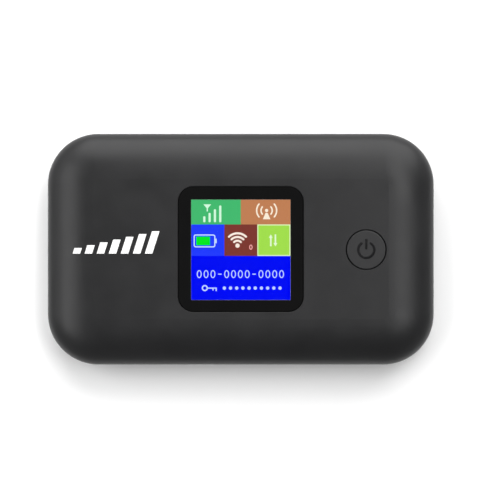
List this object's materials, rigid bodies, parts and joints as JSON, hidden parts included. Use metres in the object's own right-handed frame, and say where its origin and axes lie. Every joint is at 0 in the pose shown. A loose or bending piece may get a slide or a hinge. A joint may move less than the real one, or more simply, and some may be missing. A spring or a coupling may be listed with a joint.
{
  "type": "mobile hotspot",
  "caption": "Pocket mobile hotspot: pillow-shaped plastic case with a colour display, a round power button, a charging socket and a removable battery under its back cover.",
  "frame": {"origin": "centre of the case's footprint, on the surface that it lies on", "axes": "+X along the long side towards the power button, +Y towards the top of the display, +Z out of the display's face"},
  "size_m": [0.097, 0.058, 0.0147],
  "materials": {
    "case_plastic": "soft-touch charcoal, very fine spark texture",
    "button_plastic": "satin charcoal",
    "icon_gloss": "polished black inlay",
    "frame_plastic": "moulded black",
    "lens": "polished clear window",
    "black_tape": "black printed border",
    "foam": "black closed-cell foam",
    "display": "colour display panel",
    "backlight": "white moulded tray",
    "flex": "amber flexible circuit",
    "connector_plastic": "black moulded",
    "plunger_plastic": "ivory moulded",
    "reset_plastic": "grey moulded",
    "board": "green solder mask",
    "shield_steel": "tinned sheet",
    "chip_epoxy": "moulded epoxy",
    "thermal_pad": "soft grey-blue pad",
    "inductor": "moulded ferrite",
    "capacitor": "fired ceramic",
    "gold": "gold plated",
    "antenna_foil": "copper flexible circuit",
    "screw_steel": "black zinc",
    "battery_can": "drawn can in a thin grey wrap",
    "battery_cap": "black moulded",
    "label": "blank white film",
    "sim_plastic": "white card"
  },
  "bodies": {
    "back_cover": {"back_cover": "case_plastic"},
    "housing": {"front_cover": "case_plastic", "mid_frame": "frame_plastic", "bay_label": "label", "display_lens": "lens", "lens_tape": "black_tape", "dust_gasket": "foam", "lcd_glass": "display", "lcd_backlight": "backlight", "lcd_cushion": "foam", "lcd_flex": "flex", "lcd_connector": "connector_plastic", "power_switch": "connector_plastic", "reset_switch": "connector_plastic", "main_board": "board", "modem_shield": "shield_steel", "radio_shield": "shield_steel", "wifi_shield": "shield_steel", "modem_chip": "chip_epoxy", "memory_chip": "chip_epoxy", "power_chip": "chip_epoxy", "radio_chip": "chip_epoxy", "amplifier_chip": "chip_epoxy", "wifi_chip": "chip_epoxy", "thermal_pad": "thermal_pad", "board_inductors": "inductor", "board_capacitors": "capacitor", "usb_shell": "shield_steel", "usb_insulator": "connector_plastic", "usb_contacts": "gold", "main_antenna_carrier": "frame_plastic", "main_antenna": "antenna_foil", "diversity_antenna_carrier": "frame_plastic", "diversity_antenna": "antenna_foil", "wifi_antenna_carrier": "frame_plastic", "wifi_antenna": "antenna_foil", "antenna_springs": "gold", "sim_shell": "shield_steel", "sim_base": "connector_plastic", "sim_contacts": "gold", "contact_block": "frame_plastic", "contact_blades": "gold", "case_screws": "screw_steel", "board_screws": "screw_steel"},
    "power_button": {"power_button": "button_plastic", "power_icon": "icon_gloss", "power_plunger": "plunger_plastic"},
    "reset_button": {"reset_button": "reset_plastic", "reset_plunger": "plunger_plastic"},
    "battery": {"battery_cell": "battery_can", "battery_cap": "battery_cap", "battery_terminals": "gold", "battery_label": "label"},
    "sim_card": {"sim_card": "sim_plastic"}
  },
  "joints": [
    {"name": "cover_release", "type": "slide", "parent": "back_cover", "child": "housing", "axis": [0, 0, 1], "range_m": [0, 0.03]},
    {"name": "battery_out", "type": "slide", "parent": "housing", "child": "battery", "axis": [0, 0, -1], "range_m": [0, 0.0135]},
    {"name": "sim_slide", "type": "slide", "parent": "housing", "child": "sim_card", "axis": [0, -1, 0], "range_m": [0, 0.0126]},
    {"name": "power_button_press", "type": "slide", "parent": "housing", "child": "power_button", "axis": [0, 0, -1], "range_m": [0, 0.00035], "stiffness_N_per_m": 5000, "springref_m": -0.0002},
    {"name": "reset_press", "type": "slide", "parent": "housing", "child": "reset_button", "axis": [0, 0, 1], "range_m": [0, 0.00025], "stiffness_N_per_m": 4000, "springref_m": -0.0001}
  ],
  "couplings": [
    {"joint": "battery_out", "follows": "cover_release", "ratio": 0.45}
  ]
}
